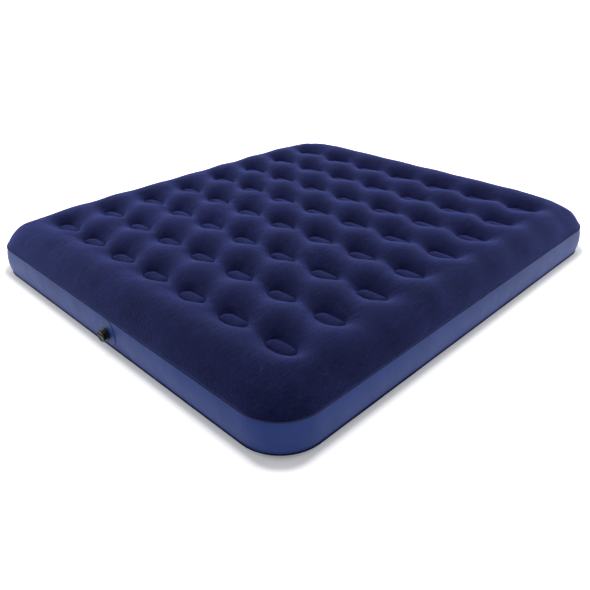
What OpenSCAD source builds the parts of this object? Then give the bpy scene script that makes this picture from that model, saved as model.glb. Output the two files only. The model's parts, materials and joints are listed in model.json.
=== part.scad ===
// King-size flocked air mattress, resting face down on the floor.
// X runs across the bed, Y along it and +Z up; the origin is under its middle, on the floor.
// The two sheets meet the side band at a welded lip, and a grid of oval beams ties them together.
// The inflation valve stands on the band at the foot end, which faces -Y.

/* [Mattress] */
// Width across the bed, over the bulge of the side band
mattress_w = 1830; // [1520:10:2200]
// Length along the bed, over the bulge of the side band
mattress_l = 2030; // [1690:10:2440]
// Height of the crown above the floor
mattress_h = 245; // [204:1:295]
// Radius of the corners, seen from above
corner_r = 165; // [120:5:240]
// Thickness of the vinyl film
film_t = 0.5; // [0.4:0.1:1.5]

/* [Seams] */
// Height of the upper seam's top face above the floor
top_seam_z = 130; // [105:1:160]
// Height of the lower seam's underside above the floor
bottom_seam_z = 12; // [8:1:20]
// How far the band's edges lie inside its bulge
seam_inset = 10; // [4:1:20]
// Thickness of the welded lip
lip_t = 2; // [1:0.5:3]
// How far the lip stands out of the seam
lip_proud = 4; // [2:0.5:8]
// Width of the welded land inside the seam
weld_land = 6; // [4:1:12]

/* [Dimples] */
// Number of dimples across the bed
dimples_x = 7; // [3:1:7]
// Number of dimples along the bed
dimples_y = 8; // [3:1:8]
// Distance between dimples across the bed
pitch_x = 222.5; // [180:0.5:267]
// Distance between dimples along the bed
pitch_y = 219; // [180:0.5:270]
// Length of the oval weld at the foot of a dimple
pad_l = 130; // [90:1:156]
// Width of the oval weld
pad_w = 50; // [30:1:60]
// Depth of the upper weld below the crown
top_pit_depth = 67; // [40:1:85]
// Height of the lower weld above the floor
bottom_pit_h = 40; // [20:1:50]
// Distance over which a dimple's wall fades out
pit_spread = 36; // [25:1:45]
// Width of the rounded shoulder above the seam
shoulder_w = 150; // [100:5:180]
// How square the shoulder is
shoulder_power = 1.55; // [1.25:0.05:2.5]
// Width of the curved margin under the lower seam
hem_w = 55; // [30:5:90]

/* [Valve] */
// Distance of the valve from the middle of the foot end
valve_x = 50; // [-400:5:400]
// Height of the valve's axis above the floor
valve_z = 74; // [60:1:90]
// Radius of the weld flange on the band
flange_r = 50; // [40:1:60]
// Thickness of the weld flange
flange_t = 1.6; // [1:0.1:3]
// Height of the two moulded rings on the flange
ring_h = 1.2; // [0.5:0.1:2]
// Outside radius of the valve's barrel
barrel_r = 17; // [14:0.5:20.5]
// Wall of the barrel
barrel_wall = 2.5; // [2:0.1:3]
// How far the barrel reaches into the mattress
barrel_in = 12; // [8:1:20]
// Radius of the collar around the barrel
collar_r = 23; // [19.5:0.5:28]
// Thickness of the collar's inner ring
collar_t = 3; // [2:0.5:5]
// Thickness of the groove between the collar's two rings
groove_t = 1.6; // [1:0.1:3]
// Thickness of the collar's outer ring
rim_ring_t = 2; // [1:0.5:4]
// Wall of the pressed-in insert
insert_wall = 2; // [1.5:0.1:2.5]
// Width of the seat that the flap closes on
seat_w = 3; // [2:0.1:4]
// Thickness of the seat
seat_t = 2.5; // [1.5:0.1:4]

/* [Cap] */
// Radius of the cap's disc
cap_r = 22.5; // [18.5:0.5:28]
// Thickness of the cap's disc
cap_t = 5.5; // [4:0.5:8]
// Wall of the cap's skirt
skirt_wall = 2.6; // [2:0.1:3]
// Length of the cap's skirt
skirt_l = 11; // [9:0.5:14]
// Running clearance between the skirt and the barrel
skirt_gap = 0.4; // [0.3:0.05:0.8]
// Clearance between the skirt's end and the collar
collar_gap = 0.8; // [0.5:0.1:3]
// Depth of the dish in the cap's face
dish_depth = 3; // [1:0.5:4]
// Width of the grip bar across the dish
grip_w = 7; // [4:0.5:10]
// Thickness of the rubber washers
washer_t = 1.4; // [1:0.1:2]
// Clearance on each face of the cap's washer
seal_gap = 0.1; // [0.05:0.05:0.3]

/* [Flap] */
// Thickness of the rubber flap
flap_t = 1.2; // [0.8:0.1:2]
// How far the flap overlaps its seat
flap_lap = 1.4; // [1:0.1:2]
// Clearance between the closed flap and its seat
flap_gap = 0.1; // [0.05:0.05:0.3]
// Radius of the hinge pin
pin_r = 0.8; // [0.6:0.1:1.2]
// Running clearance of the pin in the flap
pin_gap = 0.05; // [0.03:0.01:0.1]
// Width of the flap's knuckle
knuckle_w = 5; // [4:0.5:7]
// Thickness of each hinge lug
lug_t = 1.8; // [1.2:0.1:2.5]

/* [Hidden] */
band_bottom = bottom_seam_z + lip_t;
band_top = top_seam_z - lip_t;
band_mid = (band_bottom + band_top) / 2;
band_half = (band_top - band_bottom) / 2;
band_steps = 12;

top_pad_z = mattress_h - top_pit_depth;
flat_pull = 0.45;
beam_wall = film_t;
beam_inset = 1.5;

hub_r = barrel_r - barrel_wall;
bore_r = hub_r - insert_wall;
seat_r = bore_r - seat_w;
rim_t = 1.7;
rim_step = 0.2;
dish_rim = 3.5;
groove_z = flange_t + ring_h + collar_t;
rim_ring_z = groove_z + groove_t;
cap_z = rim_ring_z + rim_ring_t + collar_gap + skirt_l;
seal_z = cap_z - seal_gap - washer_t;
rim_z = seal_z - seal_gap - rim_t;
barrel_out = rim_z - washer_t;
skirt_r = barrel_r + skirt_gap;

hinge_reach = 1.7;
pin_y = seat_r + flap_lap + hinge_reach;
knuckle_r = 1.6;
knuckle_gap = 0.3;
pin_z = -barrel_in - flap_gap - knuckle_r - knuckle_gap;
lug_gap = 0.3;
lug_reach = 1.6;

round_fn = 96;
edge = 0.01;

// The grid of dimples

function dimple_x(i) = (i - (dimples_x - 1) / 2) * pitch_x;
function dimple_y(j) = (j - (dimples_y - 1) / 2) * pitch_y;

// Distance from a point to the oval weld centred at (cx, cy), 0 inside it
function pad_distance(x, y, cx, cy) =
    let (reach = max(0, abs(x - cx) - (pad_l - pad_w) / 2))
    max(0, norm([reach, y - cy]) - pad_w / 2);

function add(list) = [for (v = list) 1] * list;

// How strongly the dimples pull on a point: 1 at a weld, fading with distance
function pull(x, y) = add([
    for (i = [0 : dimples_x - 1], j = [0 : dimples_y - 1])
        exp(-pad_distance(x, y, dimple_x(i), dimple_y(j)) / pit_spread)
]);

function on_pad(x, y) =
    let (
        i = round(x / pitch_x + (dimples_x - 1) / 2),
        j = round(y / pitch_y + (dimples_y - 1) / 2)
    )
    i >= 0 && i < dimples_x && j >= 0 && j < dimples_y
        && abs(x - dimple_x(i)) <= pad_l / 2 + edge
        && abs(y - dimple_y(j)) <= pad_w / 2 + edge;

// Distance from a point inwards to the rounded outline of the bulge
function inwards(x, y) =
    let (
        qx = abs(x) - (mattress_w / 2 - corner_r),
        qy = abs(y) - (mattress_l / 2 - corner_r)
    )
    corner_r - norm([max(qx, 0), max(qy, 0)]) - min(max(qx, qy), 0);

// Height of the upper sheet's outer face: a squared shoulder, less the pull of the dimples
function top_height(x, y) =
    let (
        run = inwards(x, y) - seam_inset - weld_land,
        share = max(0, min(1, run / shoulder_w)),
        rise = pow(1 - pow(1 - share, shoulder_power), 1 / shoulder_power),
        crown = top_seam_z + film_t + (mattress_h - top_seam_z - film_t) * rise
    )
    on_pad(x, y) ? top_pad_z
        : run <= edge ? top_seam_z + film_t
        : max(top_pad_z, crown - top_pit_depth * pull(x, y) * rise);

// Height of the lower sheet's outer face: flat on the floor between the dimples
function bottom_height(x, y) =
    let (
        run = inwards(x, y) - seam_inset - weld_land,
        share = max(0, min(1, run / hem_w)),
        hem = (bottom_seam_z - film_t) * pow(1 - share, 2),
        lift = bottom_pit_h * max(0, pull(x, y) - flat_pull) / (1 - flat_pull)
    )
    on_pad(x, y) ? bottom_pit_h
        : run <= edge ? bottom_seam_z - film_t
        : min(bottom_pit_h, max(hem, lift));

// Sheet meshes: a grid over the dimples, then rings out to the seam

// Grid lines along one axis of the bed, at `marks` from the middle of each weld.
// The outermost line lies half a pitch out, or midway between the weld and the seam's land.
function grid_lines(size, count, pitch, pad, marks) =
    let (
        weld_edge = ((count - 1) * pitch + pad) / 2,
        land_edge = size / 2 - seam_inset - weld_land,
        last = min(count * pitch / 2, (weld_edge + land_edge) / 2),
        lines = [for (k = [0 : count - 1], m = marks) (k - (count - 1) / 2) * pitch + m]
    )
    concat([-last], [for (v = lines) if (abs(v) < last - edge) v], [last]);

// The point on a rounded outline, `inset` inside the bulge, that lies `t` of the way
// along side `s` (0 to 3), measured from the middle of one corner to the middle of the next
function outline_point(s, t, inset) =
    let (
        r = corner_r - inset,
        span = (s % 2 == 0 ? mattress_w : mattress_l) - 2 * corner_r,
        reach = (s % 2 == 0 ? mattress_l : mattress_w) / 2 - corner_r,
        arc = PI * r / 4,
        d = t * (span + 2 * arc),
        turn = d < arc ? -45 + 45 * d / arc
            : d > span + arc ? 45 * (d - span - arc) / arc
            : 0,
        along = max(-span / 2, min(span / 2, d - arc - span / 2)),
        p = [along + r * sin(turn), -reach - r * cos(turn)],
        a = s * 90
    )
    [p.x * cos(a) - p.y * sin(a), p.x * sin(a) + p.y * cos(a)];

// The points round the grid's edge, from its corner at the lowest X and Y
function grid_edge(xs, ys) =
    let (nx = len(xs) - 1, ny = len(ys) - 1)
    concat(
        [for (i = [0 : nx - 1]) [i, 0]],
        [for (j = [0 : ny - 1]) [nx, j]],
        [for (i = [0 : nx - 1]) [nx - i, ny]],
        [for (j = [0 : ny - 1]) [0, ny - j]]
    );

// Side and share of that side for the edge point number k
function edge_side(k, nx, ny) =
    k < nx ? [0, k / nx]
    : k < nx + ny ? [1, (k - nx) / ny]
    : k < 2 * nx + ny ? [2, (k - nx - ny) / nx]
    : [3, (k - 2 * nx - ny) / ny];

// A film whose outer face is at height(x, y), with its other face `dz` above or below it.
// `ring_steps` are the shares of the way from the grid to the weld land, smallest first.
module sheet(xs, ys, ring_steps, upper) {
    nx = len(xs) - 1;
    ny = len(ys) - 1;
    rim = grid_edge(xs, ys);
    n = len(rim);
    rings = len(ring_steps);
    inner = [for (y = ys, x = xs) [x, y]];
    land = weld_land + seam_inset;
    ring_points = [
        for (g = [0 : rings], k = [0 : n - 1])
            let (
                side = edge_side(k, nx, ny),
                from = [xs[rim[k].x], ys[rim[k].y]],
                to = outline_point(side.x, side.y, g == rings ? seam_inset : land),
                share = g == rings ? 1 : ring_steps[g]
            )
            from + (to - from) * share
    ];
    plan = concat(inner, ring_points);
    outer = [for (p = plan) [p.x, p.y, upper ? top_height(p.x, p.y) : bottom_height(p.x, p.y)]];
    step = upper ? -film_t : film_t;
    m = len(plan);
    points = concat(outer, [for (p = outer) [p.x, p.y, p.z + step]]);
    // Corner numbers of each quad, turning anticlockwise seen from above
    grid_quads = [
        for (j = [0 : ny - 1], i = [0 : nx - 1])
            let (a = j * (nx + 1) + i)
            [a, a + 1, a + nx + 2, a + nx + 1]
    ];
    ring_quads = [
        for (g = [0 : rings], k = [0 : n - 1])
            let (
                q = (k + 1) % n,
                in_k = g == 0 ? rim[k].y * (nx + 1) + rim[k].x : len(inner) + (g - 1) * n + k,
                in_q = g == 0 ? rim[q].y * (nx + 1) + rim[q].x : len(inner) + (g - 1) * n + q
            )
            [len(inner) + g * n + k, len(inner) + g * n + q, in_q, in_k]
    ];
    triangles = [
        for (q = concat(grid_quads, ring_quads)) each [[q[0], q[1], q[2]], [q[0], q[2], q[3]]]
    ];
    last = len(inner) + rings * n;
    walls = [
        for (k = [0 : n - 1])
            let (a = last + k, b = last + (k + 1) % n)
            each [[a, b, b + m], [a, b + m, a + m]]
    ];
    under = upper ? m : 0;
    over = m - under;
    low = [for (t = triangles) [t[0] + under, t[1] + under, t[2] + under]];
    high = [for (t = triangles) [t[2] + over, t[1] + over, t[0] + over]];
    rim_faces = upper ? walls : [for (t = walls) [t[2], t[1], t[0]]];
    polyhedron(points, concat(low, high, rim_faces), convexity = 12);
}

// Rounded outlines and the band

module rounded_plate(inset, h) {
    r = corner_r - inset;
    linear_extrude(h) {
        square([mattress_w - 2 * corner_r, mattress_l - 2 * inset], center = true);
        square([mattress_w - 2 * inset, mattress_l - 2 * corner_r], center = true);
        for (sx = [-1, 1], sy = [-1, 1])
            translate([sx * (mattress_w / 2 - corner_r), sy * (mattress_l / 2 - corner_r)])
                circle(r, $fn = round_fn);
    }
}

module seam_ring(z) {
    translate([0, 0, z])
        difference() {
            rounded_plate(seam_inset - lip_proud, lip_t);
            translate([0, 0, -1]) rounded_plate(seam_inset + weld_land, lip_t + 2);
        }
}

// How far the band's outer face lies inside its widest line, at height z
function band_inset(z) = seam_inset * pow((z - band_mid) / band_half, 2);

// Section of the band between two offsets outwards from its outer face.
// X is the distance out of the corner's centre and Y the height.
module band_section(from, to) {
    zs = [for (k = [0 : band_steps]) band_bottom + (band_top - band_bottom) * k / band_steps];
    polygon(concat(
        [for (z = zs) [corner_r - band_inset(z) + to, z]],
        [for (k = [band_steps : -1 : 0]) [corner_r - band_inset(zs[k]) + from, zs[k]]]
    ));
}

// A straight stretch of the band on the side at angle a
module band_straight(a, length, reach, from, to) {
    rotate([0, 0, a])
        translate([reach - corner_r, length / 2, 0])
            rotate([90, 0, 0])
                linear_extrude(length) band_section(from, to);
}

module band() {
    straight_x = mattress_w - 2 * corner_r;
    straight_y = mattress_l - 2 * corner_r;
    for (a = [0, 180])
        band_straight(a, straight_y, mattress_w / 2, -film_t, 0);
    for (a = [90, 270])
        band_straight(a, straight_x, mattress_l / 2, -film_t, 0);
    for (q = [[1, 1, 0], [-1, 1, 90], [-1, -1, 180], [1, -1, 270]])
        translate([q.x * straight_x / 2, q.y * straight_y / 2, 0])
            rotate([0, 0, q.z])
                rotate_extrude(angle = 90, $fn = round_fn)
                    band_section(-film_t, 0);
}

// The valve is drawn along +Z out of the band and then set on the foot end

module at_valve() {
    translate([valve_x, -mattress_l / 2, valve_z])
        rotate([90, 0, 0])
            children();
}

module tube(r_out, r_in, h, z = 0) {
    translate([0, 0, z])
        difference() {
            cylinder(r = r_out, h = h, $fn = round_fn);
            translate([0, 0, -1]) cylinder(r = r_in, h = h + 2, $fn = round_fn);
        }
}

module valve_hole(r) {
    at_valve()
        translate([0, 0, -barrel_in])
            cylinder(r = r, h = barrel_in + barrel_out, $fn = round_fn);
}

// A round stretch of film that follows the band, between two radii and two offsets
module band_disc(r_out, r_in, from, to) {
    intersection() {
        translate([valve_x, 0, 0])
            band_straight(270, 2 * r_out + 10, mattress_l / 2, from, to);
        at_valve() tube(r_out, r_in, 4 * barrel_in, -2 * barrel_in);
    }
}

module top_sheet() {
    color([0.14, 0.16, 0.30])
        sheet(
            grid_lines(mattress_w, dimples_x, pitch_x, pad_l,
                [-pitch_x / 2, -(pitch_x + pad_l) / 4, -pad_l / 2, pad_l / 2, (pitch_x + pad_l) / 4]),
            grid_lines(mattress_l, dimples_y, pitch_y, pad_w,
                [-pitch_y / 2, -(pitch_y + pad_w) / 4, -pad_w / 2, pad_w / 2, (pitch_y + pad_w) / 4]),
            [0.3, 0.6, 0.8, 0.93, 1], true);
}

module bottom_sheet() {
    color([0.22, 0.27, 0.48])
        sheet(
            grid_lines(mattress_w, dimples_x, pitch_x, pad_l, [-pitch_x / 2, -pad_l / 2, pad_l / 2]),
            grid_lines(mattress_l, dimples_y, pitch_y, pad_w,
                [-pitch_y / 2, -(pitch_y + pad_w) / 4, -pad_w / 2, pad_w / 2, (pitch_y + pad_w) / 4]),
            [0.5, 0.8, 1], false);
}

module side_band() {
    color([0.24, 0.30, 0.52])
        difference() {
            band();
            valve_hole(barrel_r);
        }
}

module top_seam_lip() {
    color([0.13, 0.15, 0.28]) seam_ring(band_top);
}

module bottom_seam_lip() {
    color([0.10, 0.14, 0.34]) seam_ring(bottom_seam_z);
}

// One oval tube of film between the lower and the upper weld
module beam(x, y) {
    foot_z = bottom_pit_h + film_t;
    head_z = top_pad_z - film_t;
    translate([x, y, foot_z])
        linear_extrude(head_z - foot_z)
            difference() {
                oval(pad_l - 2 * beam_inset, pad_w - 2 * beam_inset);
                oval(pad_l - 2 * (beam_inset + beam_wall), pad_w - 2 * (beam_inset + beam_wall));
            }
}

module oval(l, w) {
    square([l - w, w], center = true);
    for (s = [-1, 1])
        translate([s * (l - w) / 2, 0]) circle(w / 2, $fn = round_fn / 2);
}

module beam_row(j) {
    color([0.75, 0.78, 0.86])
        for (i = [0 : dimples_x - 1]) beam(dimple_x(i), dimple_y(j));
}

module valve_flange() {
    ring_w = 3;
    color([0.22, 0.29, 0.52]) {
        band_disc(flange_r, barrel_r, 0, flange_t);
        for (r = [flange_r - 4, flange_r - 15])
            band_disc(r, r - ring_w, flange_t, flange_t + ring_h);
    }
}

// Soft barrel welded into the flange, with a double collar
module valve_base() {
    color([0.05, 0.05, 0.06])
        at_valve() {
            tube(barrel_r, hub_r, barrel_in + barrel_out, -barrel_in);
            tube(collar_r, barrel_r, collar_t, flange_t + ring_h);
            tube(collar_r - 2, barrel_r, groove_t, groove_z);
            tube(collar_r - 1, barrel_r, rim_ring_t, rim_ring_z);
        }
}

// Hard sleeve pressed into the barrel; its inner end is the flap's seat and carries the pin
module valve_insert() {
    lug_h = -barrel_in - pin_z + lug_reach;
    color([0.16, 0.16, 0.17])
        at_valve() {
            tube(hub_r, bore_r, barrel_in + rim_z, -barrel_in);
            tube(barrel_r - rim_step, bore_r, rim_t, rim_z);
            tube(hub_r, seat_r, seat_t, -barrel_in);
            for (s = [-1, 1])
                translate([s * (knuckle_w / 2 + lug_gap + lug_t / 2), pin_y, -barrel_in - lug_h / 2])
                    difference() {
                        cube([lug_t, 2 * lug_reach, lug_h], center = true);
                        translate([0, 0, pin_z + barrel_in + lug_h / 2])
                            rotate([0, 90, 0])
                                cylinder(r = pin_r, h = lug_t + 2, center = true, $fn = 48);
                    }
        }
}

module insert_gasket() {
    color([0.10, 0.10, 0.10]) at_valve() tube(barrel_r - rim_step, hub_r, washer_t, barrel_out);
}

module check_flap() {
    flap_top = -barrel_in - flap_gap;
    flap_r = seat_r + flap_lap;
    color([0.55, 0.55, 0.58])
        at_valve()
            difference() {
                union() {
                    translate([0, 0, flap_top - flap_t]) cylinder(r = flap_r, h = flap_t, $fn = round_fn);
                    translate([-knuckle_w / 2, 0, flap_top - flap_t])
                        cube([knuckle_w, pin_y, flap_t]);
                    translate([0, pin_y, pin_z])
                        rotate([0, 90, 0])
                            cylinder(r = knuckle_r, h = knuckle_w, center = true, $fn = 48);
                }
                translate([0, pin_y, pin_z])
                    rotate([0, 90, 0])
                        cylinder(r = pin_r + pin_gap, h = knuckle_w + 2, center = true, $fn = 48);
            }
}

module flap_pin() {
    color([0.70, 0.71, 0.73])
        at_valve()
            translate([0, pin_y, pin_z])
                rotate([0, 90, 0])
                    cylinder(r = pin_r, h = knuckle_w + 2 * (lug_gap + lug_t), center = true, $fn = 48);
}

module cap_seal() {
    color([0.12, 0.12, 0.12]) at_valve() tube(barrel_r - rim_step, bore_r, washer_t, seal_z);
}

// Screw cap: a skirt over the barrel, a disc, and a dished face with a grip bar
module valve_cap() {
    dish_r = cap_r - dish_rim;
    color([0.08, 0.08, 0.09])
        at_valve() {
            tube(skirt_r + skirt_wall, skirt_r, skirt_l, cap_z - skirt_l);
            translate([0, 0, cap_z])
                difference() {
                    cylinder(r = cap_r, h = cap_t, $fn = round_fn);
                    translate([0, 0, cap_t - dish_depth]) cylinder(r = dish_r, h = cap_t, $fn = round_fn);
                }
            intersection() {
                translate([-dish_r, -grip_w / 2, cap_z + cap_t - dish_depth - 0.5])
                    cube([2 * dish_r, grip_w, dish_depth + 0.5]);
                translate([0, 0, cap_z]) cylinder(r = dish_r + 0.5, h = cap_t, $fn = round_fn);
            }
        }
}

top_sheet();
bottom_sheet();
side_band();
top_seam_lip();
bottom_seam_lip();
for (j = [0 : dimples_y - 1])
    beam_row(j);
valve_flange();
valve_base();
valve_insert();
insert_gasket();
check_flap();
flap_pin();
cap_seal();
valve_cap();
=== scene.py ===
import json
import math
import bpy
import numpy as np
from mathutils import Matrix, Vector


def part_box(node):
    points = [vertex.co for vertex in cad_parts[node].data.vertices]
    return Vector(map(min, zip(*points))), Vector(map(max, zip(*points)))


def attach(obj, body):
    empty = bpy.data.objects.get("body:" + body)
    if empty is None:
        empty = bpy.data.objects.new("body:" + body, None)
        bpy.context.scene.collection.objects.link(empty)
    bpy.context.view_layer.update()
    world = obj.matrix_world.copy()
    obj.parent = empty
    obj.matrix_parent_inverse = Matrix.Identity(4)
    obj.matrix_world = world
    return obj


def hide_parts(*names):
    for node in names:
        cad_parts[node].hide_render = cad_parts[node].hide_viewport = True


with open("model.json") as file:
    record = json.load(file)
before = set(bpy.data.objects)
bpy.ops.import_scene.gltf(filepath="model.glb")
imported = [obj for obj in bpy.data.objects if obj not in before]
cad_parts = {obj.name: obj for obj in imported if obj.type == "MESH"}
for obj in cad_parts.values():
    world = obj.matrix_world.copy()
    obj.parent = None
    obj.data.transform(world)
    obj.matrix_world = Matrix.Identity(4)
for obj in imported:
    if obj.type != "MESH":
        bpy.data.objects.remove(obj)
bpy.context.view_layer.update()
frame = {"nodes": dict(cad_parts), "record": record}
nodes = frame["nodes"]
record = frame["record"]


def boxOf(node):
    low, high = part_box(node)
    return np.array(low), np.array(high)


# the bed's own sizes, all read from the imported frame
bandLow, bandHigh = boxOf("side_band")
lipLow, lipHigh = boxOf("top_seam_lip")
footLow, footHigh = boxOf("bottom_seam_lip")
rowLow, rowHigh = boxOf("beam_row_1")
rowNames = sorted(n for n in nodes if n.startswith("beam_row_"))
valveAt = np.array([m["pos_m"] for m in record["mounts"] if m["name"] == "valve_port"][0])

bed = {
    "halfX": bandHigh[0], "halfY": bandHigh[1],
    "cornerRadius": 0.165,
    "seamInset": 0.010,
    "topSeam": lipHigh[2], "lowSeam": footLow[2],
    "bandLow": bandLow[2], "bandHigh": bandHigh[2],
    "padLength": 0.116, "padWidth": 0.056,
    "beamLength": 0.127, "columns": 7,
}
pitchX = (rowHigh[0] - rowLow[0] - bed["beamLength"]) / (bed["columns"] - 1)
padX = (np.arange(bed["columns"]) - (bed["columns"] - 1) / 2) * pitchX
padY = np.array([(boxOf(n)[0][1] + boxOf(n)[1][1]) / 2 for n in rowNames])
pitchY = padY[1] - padY[0]
topPadZ = rowHigh[2] + 0.0005
lowPadZ = rowLow[2] - 0.0005


# ---------- camera ----------

camera = {"azimuth": 45.02, "elevation": 29.27, "roll": -0.70, "distance": 2.4579,
          "target": (0.2384, -0.2757, 0.0), "focal": 597.45, "sensor": 36.0}


def makeCamera():
    data = bpy.data.cameras.new("camera")
    obj = bpy.data.objects.new("camera", data)
    bpy.context.scene.collection.objects.link(obj)
    data.sensor_width = camera["sensor"]
    data.lens = camera["focal"] / 590 * camera["sensor"]
    az, el = math.radians(camera["azimuth"]), math.radians(camera["elevation"])
    back = np.array([math.sin(az) * math.cos(el), -math.cos(az) * math.cos(el), math.sin(el)])
    right = np.cross(-back, [0, 0, 1])
    right /= np.linalg.norm(right)
    up = np.cross(right, -back)
    roll = math.radians(camera["roll"])
    side = right * math.cos(roll) + up * math.sin(roll)
    top = up * math.cos(roll) - right * math.sin(roll)
    place = np.array(camera["target"]) + back * camera["distance"]
    matrix = np.eye(4)
    matrix[:3, 0], matrix[:3, 1], matrix[:3, 2], matrix[:3, 3] = side, top, back, place
    obj.matrix_world = matrix.T.tolist()
    bpy.context.scene.camera = obj


makeCamera()
print("camera placed")


# ---------- mesh helpers ----------

def makeMesh(name, points, faces, body, material, replaced=(), smooth=True):
    # points and faces are arrays; faces may be quads or triangles with -1 as a missing corner
    points = np.asarray(points, float).reshape(-1, 3)
    faces = np.asarray(faces)
    sizes = (faces >= 0).sum(axis=1)
    mesh = bpy.data.meshes.new(name)
    mesh.vertices.add(len(points))
    mesh.vertices.foreach_set("co", points.ravel())
    mesh.loops.add(int(sizes.sum()))
    mesh.loops.foreach_set("vertex_index", faces[faces >= 0].astype(np.int32))
    mesh.polygons.add(len(faces))
    starts = np.concatenate([[0], np.cumsum(sizes)[:-1]]).astype(np.int32)
    mesh.polygons.foreach_set("loop_start", starts)
    mesh.polygons.foreach_set("use_smooth", np.full(len(faces), smooth))
    mesh.update(calc_edges=True)
    mesh.validate()
    piece = bpy.data.objects.new(name, mesh)
    bpy.context.scene.collection.objects.link(piece)
    mesh.materials.append(material)
    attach(piece, body)
    if replaced:
        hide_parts(*replaced)
    return piece


def gridFaces(rows, cols, wrapRows=False, wrapCols=False, start=0, flip=False):
    # quads between neighbouring grid points; wrapping joins the last line to the first
    r = np.arange(rows if wrapRows else rows - 1)
    c = np.arange(cols if wrapCols else cols - 1)
    a, b = np.meshgrid(r, c, indexing="ij")
    r1, c1 = (a + 1) % rows, (b + 1) % cols
    quads = np.stack([a * cols + b, r1 * cols + b, r1 * cols + c1, a * cols + c1], axis=-1).reshape(-1, 4)
    return (quads[:, ::-1] if flip else quads) + start


def normalsOf(p):
    # unit normal of a grid surface from its central differences
    n = np.cross(np.gradient(p, axis=0), np.gradient(p, axis=1))
    return n / np.maximum(np.linalg.norm(n, axis=-1, keepdims=True), 1e-12)


def hashNoise(ix, iy, seed):
    # a fixed pseudo-random number from 0 to 1 at each whole-number point
    h = (ix * 374761393 + iy * 668265263 + seed * 974634777) & 0xFFFFFFFF
    h = ((h ^ (h >> 13)) * 1274126177) & 0xFFFFFFFF
    return ((h ^ (h >> 16)) & 0xFFFF) / 65535.0


def smoothNoise(x, y, seed):
    # value noise from -1 to 1: corner values joined by a smooth step
    ix, iy = np.floor(x).astype(np.int64), np.floor(y).astype(np.int64)
    fx, fy = x - ix, y - iy
    fx, fy = fx * fx * (3 - 2 * fx), fy * fy * (3 - 2 * fy)
    low = hashNoise(ix, iy, seed) * (1 - fx) + hashNoise(ix + 1, iy, seed) * fx
    high = hashNoise(ix, iy + 1, seed) * (1 - fx) + hashNoise(ix + 1, iy + 1, seed) * fx
    return (low * (1 - fy) + high * fy) * 2 - 1


def layeredNoise(x, y, seed, layers=4):
    total = np.zeros_like(x)
    for k in range(layers):
        total += smoothNoise(x * 2 ** k + 17.3 * k, y * 2 ** k - 9.1 * k, seed + k) / 2 ** k
    return total


# ---------- outline ----------

def outline(count, inset):
    # points and outward directions at even steps round the rounded rectangle, anticlockwise
    a, b = bed["halfX"] - inset, bed["halfY"] - inset
    r = bed["cornerRadius"] - inset
    sideX, sideY, arc = 2 * (a - r), 2 * (b - r), math.pi * r / 2
    lengths = np.array([sideY, arc, sideX, arc, sideY, arc, sideX, arc])
    ends = np.cumsum(lengths)
    d = np.arange(count) / count * ends[-1]
    k = np.searchsorted(ends, d, side="right")
    t = d - (ends[k] - lengths[k])
    quarter = k // 2
    isArc = k % 2 == 1
    angle = np.where(isArc, t / r, 0.0)
    halfLong = np.where(quarter % 2 == 0, a, b)
    halfSide = np.where(quarter % 2 == 0, b, a)
    x = np.where(isArc, halfLong - r + r * np.cos(angle), halfLong)
    y = np.where(isArc, halfSide - r + r * np.sin(angle), t - (halfSide - r))
    turn = quarter * math.pi / 2
    cos, sin = np.cos(turn), np.sin(turn)
    place = np.stack([x * cos - y * sin, x * sin + y * cos], axis=-1)
    out = np.stack([np.cos(angle + turn), np.sin(angle + turn)], axis=-1)
    return place, out, d, ends[-1]


def roundedPlan(nx, ny, inset, reach=0.32):
    # a grid over the rounded rectangle: near each corner every L-shaped line of the grid is
    # bent round an arc whose radius grows with the square of its distance from the grid's corner
    a, b = bed["halfX"] - inset, bed["halfY"] - inset
    corner = bed["cornerRadius"] - inset
    x, y = np.meshgrid(np.linspace(-a, a, nx + 1), np.linspace(-b, b, ny + 1), indexing="ij")
    u, v = np.abs(x) - (a - reach), np.abs(y) - (b - reach)
    inside = (u > 0) & (v > 0)
    ring = np.maximum(np.maximum(u, v), 1e-9)
    r = corner * (ring / reach) ** 2
    straight, arc = ring - r, math.pi * r / 2
    total = 2 * straight + arc
    along = np.where(u >= v, v, 2 * ring - u) * total / (2 * ring)
    angle = np.clip((along - straight) / np.maximum(r, 1e-9), 0, math.pi / 2)
    newU = np.where(along < straight, ring, np.where(along < straight + arc, straight + r * np.cos(angle), total - along))
    newV = np.where(along < straight, along, np.where(along < straight + arc, straight + r * np.sin(angle), ring))
    x = np.where(inside, np.sign(x) * (a - reach + newU), x)
    y = np.where(inside, np.sign(y) * (b - reach + newV), y)
    return np.stack([x, y], axis=-1)


def padField(x, y):
    # nearest weld's centre, and the signed distance to its oval edge (negative inside)
    cx = padX[np.clip(np.rint((x - padX[0]) / pitchX).astype(int), 0, len(padX) - 1)]
    cy = padY[np.clip(np.rint((y - padY[0]) / pitchY).astype(int), 0, len(padY) - 1)]
    half = (bed["padLength"] - bed["padWidth"]) / 2
    stem = np.clip(x - cx, -half, half)
    gx, gy = x - cx - stem, y - cy
    away = np.hypot(gx, gy)
    return cx, cy, stem, gx, gy, away, away - bed["padWidth"] / 2


# ---------- inflated sheets ----------

sheetStyle = {
    "gridX": 304, "gridY": 336,
    "pull": 13.0,          # pressure over film tension, per metre, between the welds
    "marginPull": 12.0,    # the same over the wider margin outside the welds
    "marginEven": 0.75,    # how far the margin evens out along the seam, past the outer welds
    "marginStart": 0.028,  # distance beyond the welds at which that sets in
    "marginReach": 0.075,  # and the further distance over which it grows to its full share
    "tight": 1.4,          # how much tighter the film is at a weld than far from it
    "tightReach": 0.035,   # distance over which that dies away
    "weldRise": 0.009,     # how far the film inside a weld stands above its ring
    "momentum": 0.9, "gain": 0.8,
    "filmThickness": 0.0005,
}


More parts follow.
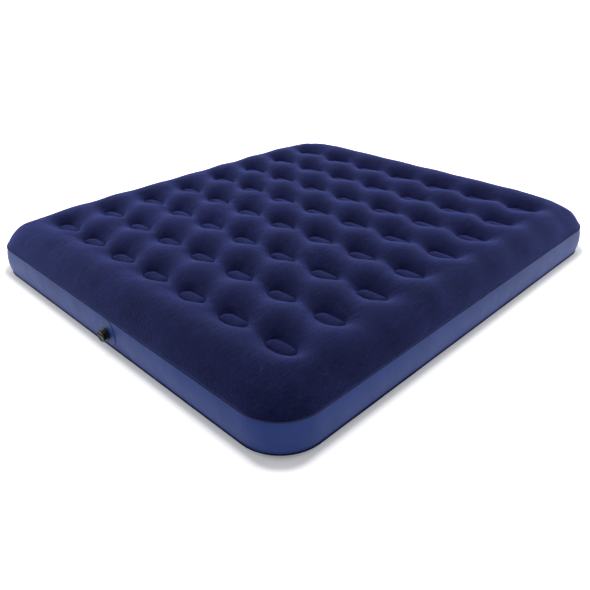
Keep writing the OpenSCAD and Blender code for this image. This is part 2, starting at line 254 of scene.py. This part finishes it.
def inflate(plan, seamZ, padZ, upward, floor, rounds, pullScale=1.0):
    # a net of equal springs held at the seam and the welds and pushed out by air pressure:
    # each point moves towards the mean of its four neighbours plus the pressure on its own area
    nx, ny = plan.shape[0] - 1, plan.shape[1] - 1
    step = 2 * bed["halfX"] / nx
    cx, cy, stem, gx, gy, away, edge = padField(plan[..., 0], plan[..., 1])
    near = np.abs(edge) < step / 2
    scale = np.where(near, bed["padWidth"] / 2 / np.maximum(away, 1e-9), 1.0)
    snapped = np.stack([cx + stem + gx * scale, cy + gy * scale], axis=-1)
    spanX, spanY = padX[-1] + bed["padLength"] / 2, padY[-1] + bed["padWidth"] / 2
    outside = np.maximum(np.abs(plan[..., 0]) - spanX, np.abs(plan[..., 1]) - spanY)
    blend = np.clip((outside + 0.02) / 0.07, 0, 1)
    blend = blend * blend * (3 - 2 * blend)
    pull = (sheetStyle["pull"] * (1 - blend) + sheetStyle["marginPull"] * blend) * pullScale
    tension = 1 + sheetStyle["tight"] * np.exp(-np.maximum(edge, 0) / sheetStyle["tightReach"])
    points = np.dstack([plan, np.full(plan.shape[:2], seamZ)])
    points[..., 2] += (padZ - seamZ) * np.clip(-outside / 0.1 + 1.5, 0, 1)
    sign = 1.0 if upward else -1.0
    for level, count in rounds:
        pick = (slice(None, None, level), slice(None, None, level))
        p = points[pick].copy()
        target = np.dstack([snapped if level == 1 else plan, np.full(plan.shape[:2], padZ)])[pick]
        held = (edge < step * level / 2)[pick]
        p[held] = target[held]
        held[0], held[-1], held[:, 0], held[:, -1] = True, True, True, True
        free = (~held)[1:-1, 1:-1, None]
        t = tension[pick]
        west, east = (t[:-2, 1:-1] + t[1:-1, 1:-1]) / 2, (t[2:, 1:-1] + t[1:-1, 1:-1]) / 2
        south, north = (t[1:-1, :-2] + t[1:-1, 1:-1]) / 2, (t[1:-1, 2:] + t[1:-1, 1:-1]) / 2
        whole = (west + east + south + north)[..., None]
        west, east, south, north = (w[..., None] / whole for w in (west, east, south, north))
        push = (sign * pull[pick])[1:-1, 1:-1, None] / whole
        speed = np.zeros_like(p[1:-1, 1:-1])
        for _ in range(count):
            left, right = p[:-2, 1:-1], p[2:, 1:-1]
            below, above = p[1:-1, :-2], p[1:-1, 2:]
            area = np.cross(right - left, above - below) / 4
            change = left * west + right * east + below * south + above * north - p[1:-1, 1:-1] + push * area
            speed = (sheetStyle["momentum"] * speed + sheetStyle["gain"] * change) * free
            p[1:-1, 1:-1] += speed
            if floor is not None:
                p[1:-1, 1:-1, 2] = np.maximum(p[1:-1, 1:-1, 2], floor)
        points[pick] = p
        if level > 1:
            # fill the finer points between: halfway along each grid line
            half = level // 2
            points[half::level, ::level] = (points[0:-1:level, ::level] + points[level::level, ::level]) / 2
            points[::half, half::level] = (points[::half, 0:-1:level] + points[::half, level::level]) / 2
    return points, edge


def smoothStep(t):
    t = np.clip(t, 0, 1)
    return t * t * (3 - 2 * t)


def runningMean(heights, count, axis):
    # mean over an odd window of grid lines, from differences of the running sum
    lines = np.moveaxis(heights, axis, 0)
    half = count // 2
    padded = np.concatenate([np.repeat(lines[:1], half + 1, 0), lines, np.repeat(lines[-1:], half, 0)])
    total = np.cumsum(padded, axis=0)
    mean = (total[2 * half + 1:] - total[:-2 * half - 1]) / (2 * half + 1)
    return np.moveaxis(mean, 0, axis)


def evenMargins(points, plan):
    # beyond the outer welds the height blends into its own mean over one pitch along the seam
    step = 2 * bed["halfX"] / (plan.shape[0] - 1)
    start, reach = sheetStyle["marginStart"], sheetStyle["marginReach"]
    outX = np.abs(plan[..., 0]) - padX[-1] - bed["padLength"] / 2 - start
    outY = np.abs(plan[..., 1]) - padY[-1] - bed["padWidth"] / 2 - start
    besideX = smoothStep(outX / reach) * (1 - smoothStep(outY / reach))
    besideY = smoothStep(outY / reach) * (1 - smoothStep(outX / reach))
    z = points[..., 2]
    alongY = runningMean(z, round(pitchY / step), 1)
    alongX = runningMean(z, round(pitchX / step), 0)
    points[..., 2] = z + sheetStyle["marginEven"] * (besideX * (alongY - z) + besideY * (alongX - z))
    return points


def addWrinkles(points, upward):
    # fine puckers that run away from each weld and die out, and a slow unevenness of the film
    x, y = points[..., 0], points[..., 1]
    cx, cy, stem, gx, gy, away, edge = padField(x, y)
    angle = np.arctan2(y - cy, (x - cx) * 0.6)
    cell = (cx * 31 + cy * 57) * 10
    edge = np.maximum(edge, 0)
    fade = np.exp(-((edge - 0.030) / 0.026) ** 2)
    pucker = layeredNoise(angle * 5.5 + cell, cell + edge * 9, 11, 3) * 0.00060 * fade
    slow = layeredNoise(x * 9, y * 9, 5, 3) * 0.0010 * np.clip(edge / 0.06, 0, 1)
    ends = np.minimum(np.arange(x.shape[0]), np.arange(x.shape[0])[::-1])[:, None]
    sides = np.minimum(np.arange(x.shape[1]), np.arange(x.shape[1])[::-1])[None, :]
    fromSeam = np.minimum(ends, sides) / 14
    lift = (pucker + slow) * np.clip(fromSeam, 0, 1)
    side = normalsOf(points) * (1 if upward else -1)
    return points + side * lift[..., None]


def weldDome(edge):
    # the film inside a weld's ring swells as a circle's arc across it: 0 at the ring, 1 in the middle
    across = np.clip(-edge / (bed["padWidth"] / 2), 0, 1)
    return np.sqrt(np.clip(1 - (1 - across) ** 2, 0, 1))


def makeWeldRings(points):
    # a fine raised bead round every weld: a small circle carried round the oval, in a paler flock that paints a
    # highlight on the bead
    style = ringStyle
    t = np.arange(style["around"]) / style["around"] * 2 * math.pi
    half = (bed["padLength"] - bed["padWidth"]) / 2
    stem = half * np.clip(np.cos(t) * 3, -1, 1)
    out = np.stack([np.cos(t), np.sin(t), 0 * t], axis=-1)
    line = out * bed["padWidth"] / 2
    line[:, 0] += stem
    a = np.arange(style["section"]) / style["section"] * 2 * math.pi
    bead = line[:, None, :] + out[:, None, :] * (style["width"] * np.cos(a))[None, :, None]
    bead[..., 2] += style["height"] * np.sin(a)[None, :]
    cx, cy = np.meshgrid(padX, padY, indexing="ij")
    centers = np.stack([cx, cy, np.full_like(cx, topPadZ + style["height"] * 0.4)], axis=-1).reshape(-1, 3)
    rings = centers[:, None, None, :] + bead[None]
    quads = gridFaces(style["around"], style["section"], True, True, flip=True)
    offsets = np.arange(len(centers)) * style["around"] * style["section"]
    faces = (quads[None] + offsets[:, None, None]).reshape(-1, 4)
    makeMesh("weldRings", rings, faces, "mattress", ringFlockPaintedHighlight)


def thicken(piece, thickness, offset):
    shell = piece.modifiers.new("thickness", "SOLIDIFY")
    shell.thickness = thickness
    shell.offset = offset
    shell.use_even_offset = False
    return shell


ringStyle = {"around": 56, "section": 6, "width": 0.0028, "height": 0.0016}


# ---------- materials ----------

def newMaterial(name):
    mat = bpy.data.materials.new(name)
    mat.use_nodes = True
    tree = mat.node_tree
    shader = tree.nodes["Principled BSDF"]
    return mat, tree, shader


def addNode(tree, kind, **values):
    node = tree.nodes.new(kind)
    for key, value in values.items():
        if key.startswith("in_"):
            node.inputs[key[3:].replace("_", " ")].default_value = value
        else:
            setattr(node, key, value)
    return node


def toLinear(rgb):
    c = np.array(rgb, float) / 255
    return tuple(np.where(c <= 0.04045, c / 12.92, ((c + 0.055) / 1.055) ** 2.4)) + (1.0,)


def objectPattern(tree, kind, scale, stretch=(1, 1, 1), **values):
    coords = addNode(tree, "ShaderNodeTexCoord")
    mapping = addNode(tree, "ShaderNodeMapping")
    mapping.inputs["Scale"].default_value = stretch
    tree.links.new(coords.outputs["Object"], mapping.inputs["Vector"])
    pattern = addNode(tree, kind, **values)
    pattern.inputs["Scale"].default_value = scale
    tree.links.new(mapping.outputs["Vector"], pattern.inputs["Vector"])
    return pattern


def colourRamp(tree, source, stops):
    ramp = addNode(tree, "ShaderNodeValToRGB")
    elements = ramp.color_ramp.elements
    while len(elements) < len(stops):
        elements.new(0.5)
    for element, (place, colour) in zip(elements, stops):
        element.position = place
        element.color = colour
    tree.links.new(source, ramp.inputs["Fac"])
    return ramp.outputs["Color"]


def mixColours(tree, kind, factor, first, second):
    mix = addNode(tree, "ShaderNodeMix", data_type="RGBA", blend_type=kind)
    for socket, value in ((mix.inputs[0], factor), (mix.inputs[6], first), (mix.inputs[7], second)):
        if hasattr(value, "node"):
            tree.links.new(value, socket)
        else:
            socket.default_value = value
    return mix.outputs[2]


def addBump(tree, shader, heights, distance, strength=1.0):
    # heights is a list of (socket, weight); they are added and drive one bump
    total = None
    for socket, weight in heights:
        scaled = addNode(tree, "ShaderNodeMath", operation="MULTIPLY")
        tree.links.new(socket, scaled.inputs[0])
        scaled.inputs[1].default_value = weight
        if total is None:
            total = scaled.outputs[0]
        else:
            both = addNode(tree, "ShaderNodeMath", operation="ADD")
            tree.links.new(total, both.inputs[0])
            tree.links.new(scaled.outputs[0], both.inputs[1])
            total = both.outputs[0]
    bump = addNode(tree, "ShaderNodeBump", in_Strength=strength, in_Distance=distance)
    tree.links.new(total, bump.inputs["Height"])
    tree.links.new(bump.outputs["Normal"], shader.inputs["Normal"])


flockStyle = {
    "dark": (17, 20, 53), "mid": (22, 26, 64), "pale": (30, 34, 79),
    "sheenTint": (116, 130, 222), "sheen": 0.95, "sheenRoughness": 0.38, "roughness": 0.95,
    # the crease colour is a pale violet: on the creases a painted highlight, on the lint specks their own colour
    "creaseHighlightAndLintColour": (92, 98, 150), "creaseHighlightShare": 0.17,
}


def creaseHighlightLines(tree):
    # hairline creases in the pile, painted pale as the highlight a fold catches: the borders of large warped cells,
    # kept only in broken stretches
    warp = objectPattern(tree, "ShaderNodeTexNoise", 6.0, in_Detail=2.0)
    coords = addNode(tree, "ShaderNodeTexCoord")
    bent = addNode(tree, "ShaderNodeVectorMath", operation="MULTIPLY_ADD")
    bent.inputs[1].default_value = (0.22, 0.22, 0.22)
    tree.links.new(warp.outputs["Color"], bent.inputs[0])
    tree.links.new(coords.outputs["Object"], bent.inputs[2])
    cells = addNode(tree, "ShaderNodeTexVoronoi", feature="DISTANCE_TO_EDGE", in_Scale=15.0)
    tree.links.new(bent.outputs[0], cells.inputs["Vector"])
    broken = objectPattern(tree, "ShaderNodeTexNoise", 11.0, in_Detail=3.0)
    share = flockStyle["creaseHighlightShare"]
    line = colourRamp(tree, cells.outputs["Distance"], [(0.0, (share, share, share, 1)), (0.015, (0, 0, 0, 1))])
    kept = colourRamp(tree, broken.outputs["Fac"], [(0.50, (0, 0, 0, 1)), (0.62, (1, 1, 1, 1))])
    return mixColours(tree, "MULTIPLY", 1.0, line, kept)


def flockMaterial(name="navyFlock", lift=1.0):
    mat, tree, shader = newMaterial(name)
    patches = objectPattern(tree, "ShaderNodeTexNoise", 7.0, in_Detail=5.0, in_Roughness=0.6)
    speckle = objectPattern(tree, "ShaderNodeTexNoise", 210.0, in_Detail=4.0, in_Roughness=0.75)
    pile = objectPattern(tree, "ShaderNodeTexVoronoi", 900.0)
    strokes = objectPattern(tree, "ShaderNodeTexNoise", 60.0, stretch=(1, 0.18, 1), in_Detail=3.0, in_Distortion=1.5)
    lint = objectPattern(tree, "ShaderNodeTexVoronoi", 48.0)
    # lift scales the three tones; above 1 it makes a paler copy of the flock, used to paint a highlight on the weld
    # beads
    base = colourRamp(tree, patches.outputs["Fac"], [
        (place, toLinear([c * lift for c in flockStyle[tone]]))
        for place, tone in ((0.30, "dark"), (0.52, "mid"), (0.75, "pale"))])
    grain = colourRamp(tree, speckle.outputs["Fac"], [
        (0.28, (0.42, 0.42, 0.50, 1)), (0.50, (1, 1, 1, 1)), (0.72, (1.55, 1.55, 1.45, 1))])
    nap = colourRamp(tree, strokes.outputs["Fac"], [
        (0.30, (0.78, 0.78, 0.84, 1)), (0.50, (1, 1, 1, 1)), (0.70, (1.25, 1.25, 1.18, 1))])
    colour = mixColours(tree, "MULTIPLY", 1.0, mixColours(tree, "MULTIPLY", 1.0, base, grain), nap)
    specks = colourRamp(tree, lint.outputs["Distance"], [(0.0, (0.55, 0.55, 0.55, 1)), (0.07, (0, 0, 0, 1))])
    # creases mixed towards the pale colour: real creases carrying a painted highlight
    colour = mixColours(tree, "MIX", creaseHighlightLines(tree), colour, toLinear(flockStyle["creaseHighlightAndLintColour"]))
    colour = mixColours(tree, "MIX", specks, colour, toLinear(flockStyle["creaseHighlightAndLintColour"]))
    tree.links.new(colour, shader.inputs["Base Color"])
    shader.inputs["Roughness"].default_value = flockStyle["roughness"]
    shader.inputs["Specular IOR Level"].default_value = 0.1
    shader.inputs["Sheen Weight"].default_value = flockStyle["sheen"]
    shader.inputs["Sheen Roughness"].default_value = flockStyle["sheenRoughness"]
    shader.inputs["Sheen Tint"].default_value = toLinear(flockStyle["sheenTint"])
    addBump(tree, shader, [(speckle.outputs["Fac"], 1.0), (pile.outputs["Distance"], 0.2), (strokes.outputs["Fac"], 1.2)], 0.0020, 0.8)
    return mat


vinylStyle = {
    "deep": (38, 60, 124), "light": (48, 70, 138), "roughness": 0.46, "specular": 0.16,
}


def vinylMaterial(name="blueVinyl", deep=None, light=None, roughness=None):
    mat, tree, shader = newMaterial(name)
    clouds = objectPattern(tree, "ShaderNodeTexNoise", 5.0, in_Detail=3.0, in_Roughness=0.5)
    fine = objectPattern(tree, "ShaderNodeTexNoise", 900.0, in_Detail=2.0)
    folds = objectPattern(tree, "ShaderNodeTexNoise", 26.0, stretch=(1, 1, 0.35), in_Detail=4.0, in_Roughness=0.55)
    colour = colourRamp(tree, clouds.outputs["Fac"], [
        (0.35, toLinear(deep or vinylStyle["deep"])), (0.65, toLinear(light or vinylStyle["light"]))])
    tree.links.new(colour, shader.inputs["Base Color"])
    rough = addNode(tree, "ShaderNodeMapRange", in_To_Min=(roughness or vinylStyle["roughness"]) - 0.05,
                    in_To_Max=(roughness or vinylStyle["roughness"]) + 0.08)
    tree.links.new(folds.outputs["Fac"], rough.inputs["Value"])
    tree.links.new(rough.outputs["Result"], shader.inputs["Roughness"])
    shader.inputs["Specular IOR Level"].default_value = vinylStyle["specular"]
    addBump(tree, shader, [(folds.outputs["Fac"], 1.0), (fine.outputs["Fac"], 0.05)], 0.0012, 0.5)
    return mat


def hardMaterial(name, colour, roughness, metallic=0.0, wear=None):
    mat, tree, shader = newMaterial(name)
    clouds = objectPattern(tree, "ShaderNodeTexNoise", 60.0, in_Detail=4.0, in_Roughness=0.6)
    fine = objectPattern(tree, "ShaderNodeTexNoise", 1800.0, in_Detail=2.0)
    dark = tuple(c * 0.8 for c in colour)
    light = wear or tuple(min(255, c * 1.2) for c in colour)
    tint = colourRamp(tree, clouds.outputs["Fac"], [(0.3, toLinear(dark)), (0.7, toLinear(light))])
    tree.links.new(tint, shader.inputs["Base Color"])
    shader.inputs["Metallic"].default_value = metallic
    shader.inputs["Specular IOR Level"].default_value = 0.25
    rough = addNode(tree, "ShaderNodeMapRange", in_To_Min=roughness - 0.06, in_To_Max=roughness + 0.1)
    tree.links.new(clouds.outputs["Fac"], rough.inputs["Value"])
    tree.links.new(rough.outputs["Result"], shader.inputs["Roughness"])
    addBump(tree, shader, [(fine.outputs["Fac"], 0.3), (clouds.outputs["Fac"], 0.2)], 0.0003, 0.5)
    return mat


flock = flockMaterial()
# the weld beads' flock, 1.35 times paler: a painted highlight along each bead
ringFlockPaintedHighlight = flockMaterial("ringFlockPaintedHighlight", 1.35)
vinyl = vinylMaterial()
weldDark = vinylMaterial("darkWeld", deep=(20, 26, 60), light=(28, 36, 78), roughness=0.5)
flangeVinyl = vinylMaterial("flangeVinyl", deep=(36, 58, 122), light=(46, 68, 136), roughness=0.4)
beamFilm = vinylMaterial("beamFilm", deep=(165, 172, 190), light=(190, 196, 210), roughness=0.4)
blackPlastic = hardMaterial("blackPlastic", (4, 4, 6), 0.38)
capPlastic = hardMaterial("capPlastic", (9, 9, 11), 0.36)
darkGrey = hardMaterial("darkGrey", (44, 44, 48), 0.45)
sealRubber = hardMaterial("sealRubber", (26, 26, 26), 0.7)
flapRubber = hardMaterial("flapRubber", (128, 128, 132), 0.5)
pinSteel = hardMaterial("pinSteel", (170, 172, 176), 0.3, metallic=1.0)
print("materials ready")


# ---------- upper and lower sheets ----------

def makeSheets():
    nx, ny = sheetStyle["gridX"], sheetStyle["gridY"]
    plan = roundedPlan(nx, ny, bed["seamInset"])
    rounds = [(4, 150), (2, 150), (1, 200)]
    upper, edge = inflate(plan, bed["topSeam"], topPadZ, True, None, rounds)
    print("upper sheet crown", round(float(upper[..., 2].max()), 4),
          "mid mound", round(float(upper[nx // 2, :, 2].max()), 4),
          "widest", round(float(upper[..., 0].max()), 4), round(float(upper[..., 1].max()), 4))
    upper = evenMargins(upper, plan)
    upper[..., 2] += sheetStyle["weldRise"] * weldDome(edge)
    upper = addWrinkles(upper, True)
    top = makeMesh("topSheet", upper, gridFaces(nx + 1, ny + 1), "mattress", flock, ["top_sheet"])
    thicken(top, sheetStyle["filmThickness"], -1)

    coarse = roundedPlan(nx // 2, ny // 2, bed["seamInset"])
    lower, _ = inflate(coarse, bed["lowSeam"], lowPadZ, False, 0.0006, [(4, 200), (2, 200), (1, 220)], 0.9)
    lowerPiece = makeMesh("bottomSheet", lower, gridFaces(nx // 2 + 1, ny // 2 + 1, flip=True), "mattress", vinyl, ["bottom_sheet"])
    thicken(lowerPiece, sheetStyle["filmThickness"], -1)
    print("lower sheet lowest", round(float(lower[..., 2].min()), 5))
    return upper


makeWeldRings(makeSheets())
print("sheets inflated")


# ---------- side band and seams ----------

bandStyle = {"around": 1232, "rows": 26}


def bandInset(z):
    # the band bulges as a parabola between its two seams
    middle = (bed["bandLow"] + bed["bandHigh"]) / 2
    half = (bed["bandHigh"] - bed["bandLow"]) / 2
    return bed["seamInset"] * ((z - middle) / half) ** 2


def makeBand():
    place, out, d, total = outline(bandStyle["around"], 0.0)
    z = np.linspace(bed["bandLow"] - 0.001, bed["bandHigh"] + 0.001, bandStyle["rows"])
    share = (z - z[0]) / (z[-1] - z[0])
    cover = np.sin(share * math.pi)[None, :]
    turn = d[:, None] / total * 2 * math.pi + 0 * z[None, :]
    wave = layeredNoise(np.cos(turn) * 12 + 40, np.sin(turn) * 12 + z[None, :] * 9, 21, 3) * 0.0012
    pleat = smoothNoise(d[:, None] * 55 + 0 * turn, z[None, :] * 6 + 0 * turn, 31) * 0.0003
    offset = -bandInset(z)[None, :] + (wave + pleat) * cover
    xy = place[:, None, :] + out[:, None, :] * offset[..., None]
    points = np.dstack([xy, np.broadcast_to(z, xy.shape[:2])])
    band = makeMesh("sideBand", points, gridFaces(len(d), len(z), wrapRows=True), "mattress", vinyl, ["side_band"])
    thicken(band, 0.0005, -1)


def makeLip(name, node, low, thickness, proud, material, seed):
    # a thin rounded strip swept round the seam, slightly wavy
    place, out, d, total = outline(bandStyle["around"], bed["seamInset"])
    angle = np.linspace(0, 2 * math.pi, 12, endpoint=False)
    reach = (proud + 0.004) / 2
    outward = (proud - 0.004) / 2 + reach * np.sign(np.cos(angle)) * np.abs(np.cos(angle)) ** 0.6
    height = thickness / 2 * np.sign(np.sin(angle)) * np.abs(np.sin(angle)) ** 0.6
    sway = smoothNoise(d * 9, d * 0, seed) * 0.0006 + smoothNoise(d * 40, d * 0, seed + 1) * 0.00025
    press = 0.00018 * np.sin(d / total * 2 * math.pi * 1500)
    xy = place[:, None, :] + out[:, None, :] * (outward[None, :] + sway[:, None])[..., None]
    z = low + thickness / 2 + height[None, :] * (1 + 0 * d[:, None]) + (sway * 0.8 + press * 0)[:, None]
    points = np.dstack([xy, z])
    makeMesh(name, points, gridFaces(len(d), len(angle), True, True, flip=True), "mattress", material, [node])


makeBand()
makeLip("topSeam", "top_seam_lip", lipLow[2], 0.0018, 0.0035, weldDark, 3)
makeLip("bottomSeam", "bottom_seam_lip", footLow[2], 0.0018, 0.0040, weldDark, 8)
print("band and seams swept")


# ---------- valve ----------

valveStyle = {
    "flangeRadius": 0.050, "barrelRadius": 0.017, "collarRadius": 0.023,
    "flangeThickness": 0.0009, "steps": 128,
}
valveX, valveZ = valveAt[0], valveAt[2]
wallY = -bed["halfY"]


def revolve(profile, steps, closed=True):
    # a profile of (radius, height) pairs turned about the valve's axis, which leaves the foot end
    angle = np.arange(steps) / steps * 2 * math.pi
    r, h = profile[:, 0], profile[:, 1]
    x = valveX + r[:, None] * np.cos(angle)[None, :]
    z = valveZ + r[:, None] * np.sin(angle)[None, :]
    y = wallY - h[:, None] + 0 * angle[None, :]
    return np.dstack([x, y, z]), gridFaces(len(profile), steps, closed, True)


def roundProfile(corners, radius, arcSteps=4):
    # a closed outline with each corner replaced by a short quadratic bend
    pts = np.array(corners, float)
    before, after = np.roll(pts, 1, axis=0), np.roll(pts, -1, axis=0)
    result = []
    for p, q, s in zip(pts, before, after):
        a, b = q - p, s - p
        la, lb = np.linalg.norm(a), np.linalg.norm(b)
        start, end = p + a / la * min(radius, la * 0.45), p + b / lb * min(radius, lb * 0.45)
        t = np.linspace(0, 1, arcSteps)[:, None]
        result.append((1 - t) ** 2 * start + 2 * t * (1 - t) * p + t ** 2 * end)
    return np.concatenate(result)


def makeFlange():
    # rings of the flange as a height over radius, laid on the bulge of the band
    s = valveStyle
    r = np.concatenate([np.linspace(s["barrelRadius"], s["flangeRadius"], 80), [s["flangeRadius"] + 0.001]])
    edge = np.clip((s["flangeRadius"] - r) / 0.004, 0, 1)
    rise = s["flangeThickness"] * np.sqrt(np.clip(1 - (1 - edge) ** 2, 0, 1))
    for ringAt, width, height in ((0.0445, 0.0016, 0.0004), (0.0335, 0.0017, 0.0012), (0.0265, 0.0012, 0.0013)):
        rise = rise + height * np.exp(-((r - ringAt) / width) ** 2)
    rise = rise + 0.0030 * np.exp(-((r - s["barrelRadius"]) / 0.005) ** 2)
    rise[-1] = -0.0008
    angle = np.arange(s["steps"]) / s["steps"] * 2 * math.pi
    x = valveX + r[:, None] * np.cos(angle)
    z = valveZ + r[:, None] * np.sin(angle)
    y = wallY + bandInset(z) - rise[:, None] - 0.0008
    points = np.dstack([x, y, z])
    flange = makeMesh("valveFlange", points, gridFaces(len(r), s["steps"], False, True), "mattress", flangeVinyl, ["valve_flange"])
    thicken(flange, 0.0008, -1)


def makeBarrel():
    inLow, outHigh = 0.012, 0.018
    r, inner, c = valveStyle["barrelRadius"], 0.0145, valveStyle["collarRadius"]
    profile = roundProfile([
        (r, -inLow), (r, 0.0026), (c, 0.0026), (c, 0.0058), (c - 0.003, 0.0062), (c - 0.003, 0.0072),
        (c - 0.001, 0.0076), (c - 0.001, 0.0096), (r + 0.0006, 0.0104), (r, 0.012), (r, outHigh),
        (inner, outHigh), (inner, -inLow)], 0.0006)
    points, faces = revolve(profile, valveStyle["steps"])
    makeMesh("valveBarrel", points, faces, "mattress", blackPlastic, ["valve_base"])


def superBox(center, half, power=5, rows=20, cols=40):
    # a box with rounded edges: each direction's sine and cosine raised to 2 / power
    lat = np.linspace(-math.pi / 2, math.pi / 2, rows)
    lon = np.arange(cols) / cols * 2 * math.pi
    raised = lambda v: np.sign(v) * np.abs(v) ** (2 / power)
    x = center[0] + half[0] * raised(np.cos(lat))[:, None] * raised(np.cos(lon))[None, :]
    y = center[1] + half[1] * raised(np.cos(lat))[:, None] * raised(np.sin(lon))[None, :]
    z = center[2] + half[2] * raised(np.sin(lat))[:, None] + 0 * lon[None, :]
    return np.dstack([x, y, z]), gridFaces(rows, cols, False, True, flip=True)


def makeCap():
    low, high = boxOf("valve_cap")
    inner, outer = wallY - high[1], wallY - low[1]
    discLow = outer - 0.0055
    rCap = (high[0] - low[0]) / 2
    bore, skirt = 0.0174, 0.0187
    profile = roundProfile([
        (bore, inner), (skirt, inner), (skirt, discLow - 0.001), (rCap - 0.0012, discLow), (rCap, discLow + 0.0015),
        (rCap, outer - 0.0012), (rCap - 0.0010, outer), (rCap - 0.0030, outer), (rCap - 0.0042, outer - 0.0030),
        (0.0002, outer - 0.0030), (0.0002, discLow), (bore, discLow)], 0.0007)
    points, faces = revolve(profile, 240)
    # grip flutes: the skirt and the disc's edge ripple round the axis
    angle = np.arange(240) / 240 * 2 * math.pi
    radius = profile[:, 0][:, None]
    onSkirt = (np.abs(radius - skirt) < 0.0005) | (np.abs(radius - rCap) < 0.0003)
    ripple = 1 + np.where(onSkirt, 0.022, 0) * (np.abs(np.cos(angle * 12)) ** 0.7 - 1)[None, :]
    points[..., 0] = valveX + (points[..., 0] - valveX) * ripple
    points[..., 2] = valveZ + (points[..., 2] - valveZ) * ripple
    makeMesh("valveCap", points, faces, "cap", capPlastic, ["valve_cap"])
    grip, gripFaces = superBox((valveX, wallY - outer + 0.0018, valveZ), (rCap - 0.0045, 0.0017, 0.0032))
    makeMesh("capGrip", grip, gripFaces, "cap", capPlastic)


makeFlange()
makeBarrel()
makeCap()
print("valve made")


# ---------- pieces kept from the frame ----------

kept = {"valve_insert": darkGrey, "insert_gasket": sealRubber, "check_flap": flapRubber, "flap_pin": pinSteel,
        "cap_seal": sealRubber}
kept.update({n: beamFilm for n in rowNames})
for name, material in kept.items():
    mesh = nodes[name].data
    mesh.materials.clear()
    mesh.materials.append(material)


# ---------- floor, light and view ----------

def seenLevel(tree):
    # 1 for a camera, mirror or clear-glass ray, 0 for the rays that light the bed
    path = addNode(tree, "ShaderNodeLightPath")
    seen = path.outputs["Is Camera Ray"]
    for kind in ("Is Glossy Ray", "Is Transmission Ray"):
        either = addNode(tree, "ShaderNodeMath", operation="MAXIMUM")
        tree.links.new(seen, either.inputs[0])
        tree.links.new(path.outputs[kind], either.inputs[1])
        seen = either.outputs[0]
    return seen


stageStyle = {
    "halfSize": 30.0, "drop": 0.0005, "colour": (0.9, 0.9, 0.9, 1), "innerCorner": 0.10,
    # fade: the floor's glow by distance past the bed's rounded rectangle; its low values near the bed paint a soft
    # shadow round the foot
    "fade": [(0.0, 0.16), (0.012, 0.28), (0.03, 0.48), (0.055, 0.66), (0.13, 0.88), (0.25, 1.0)],
    "paintedShadowReach": 0.50,
}


def makeStage():
    # the floor is plain white far out; round the bed's foot its glow is turned down, a painted shadow on top of
    # the lamps' own soft shadow: the glow grows with the distance from the bed's own rounded rectangle, |max(|p| -
    # half, 0)|
    mat, tree, shader = newMaterial("studioFloor")
    shader.inputs["Base Color"].default_value = stageStyle["colour"]
    shader.inputs["Roughness"].default_value = 1.0
    shader.inputs["Specular IOR Level"].default_value = 0.0
    shader.inputs["Emission Color"].default_value = (1, 1, 1, 1)
    coords = addNode(tree, "ShaderNodeTexCoord")
    size = addNode(tree, "ShaderNodeVectorMath", operation="ABSOLUTE")
    beyond = addNode(tree, "ShaderNodeVectorMath", operation="SUBTRACT")
    clipped = addNode(tree, "ShaderNodeVectorMath", operation="MAXIMUM")
    length = addNode(tree, "ShaderNodeVectorMath", operation="LENGTH")
    inner = stageStyle["innerCorner"]
    beyond.inputs[1].default_value = (bed["halfX"] - inner, bed["halfY"] - inner, 10.0)
    clipped.inputs[1].default_value = (0, 0, 0)
    tree.links.new(coords.outputs["Object"], size.inputs[0])
    tree.links.new(size.outputs[0], beyond.inputs[0])
    tree.links.new(beyond.outputs[0], clipped.inputs[0])
    tree.links.new(clipped.outputs[0], length.inputs[0])
    away = addNode(tree, "ShaderNodeMapRange", in_From_Min=inner, in_From_Max=inner + stageStyle["paintedShadowReach"])
    tree.links.new(length.outputs["Value"], away.inputs["Value"])
    # glow kept low near the bed: a painted shadow round its foot
    glow = colourRamp(tree, away.outputs["Result"], [(place, (v, v, v, 1)) for place, v in stageStyle["fade"]])
    lift = addNode(tree, "ShaderNodeMath", operation="MULTIPLY")
    tree.links.new(glow, lift.inputs[0])
    tree.links.new(seenLevel(tree), lift.inputs[1])
    tree.links.new(lift.outputs[0], shader.inputs["Emission Strength"])
    half, drop = stageStyle["halfSize"], -stageStyle["drop"]
    mesh = bpy.data.meshes.new("studioFloor")
    mesh.from_pydata([(-half, -half, drop), (half, -half, drop), (half, half, drop), (-half, half, drop)], [], [(0, 1, 2, 3)])
    mesh.materials.append(mat)
    floor = bpy.data.objects.new("studioFloor", mesh)
    bpy.context.scene.collection.objects.link(floor)


def makeLamp(name, place, target, size, power):
    data = bpy.data.lights.new(name, "AREA")
    data.shape = "SQUARE"
    data.size = size
    data.energy = power
    lamp = bpy.data.objects.new(name, data)
    bpy.context.scene.collection.objects.link(lamp)
    back = np.array(place, float) - np.array(target, float)
    back /= np.linalg.norm(back)
    right = np.cross([0, 0, 1.0], back)
    right = right / np.linalg.norm(right) if np.linalg.norm(right) > 1e-6 else np.array([1.0, 0, 0])
    matrix = np.eye(4)
    matrix[:3, 0], matrix[:3, 1], matrix[:3, 2], matrix[:3, 3] = right, np.cross(back, right), back, place
    lamp.matrix_world = matrix.T.tolist()


def makeWorld(strength):
    world = bpy.data.worlds.new("studio")
    bpy.context.scene.world = world
    world.use_nodes = True
    tree = world.node_tree
    backdrop = tree.nodes["Background"]
    backdrop.inputs["Color"].default_value = (1, 1, 1, 1)
    level = addNode(tree, "ShaderNodeMapRange", in_To_Min=strength, in_To_Max=1.0)
    tree.links.new(seenLevel(tree), level.inputs["Value"])
    tree.links.new(level.outputs["Result"], backdrop.inputs["Strength"])


makeStage()
makeWorld(0.42)
makeLamp("overhead", (-1.0, 1.2, 4.2), (0, 0, 0), 3.5, 95)
makeLamp("left", (-3.4, -3.0, 1.8), (-0.2, -0.6, 0.1), 2.4, 46)
makeLamp("right", (3.0, 3.4, 1.8), (0.6, 0.2, 0.1), 2.4, 46)
bpy.context.scene.view_settings.view_transform = "Standard"
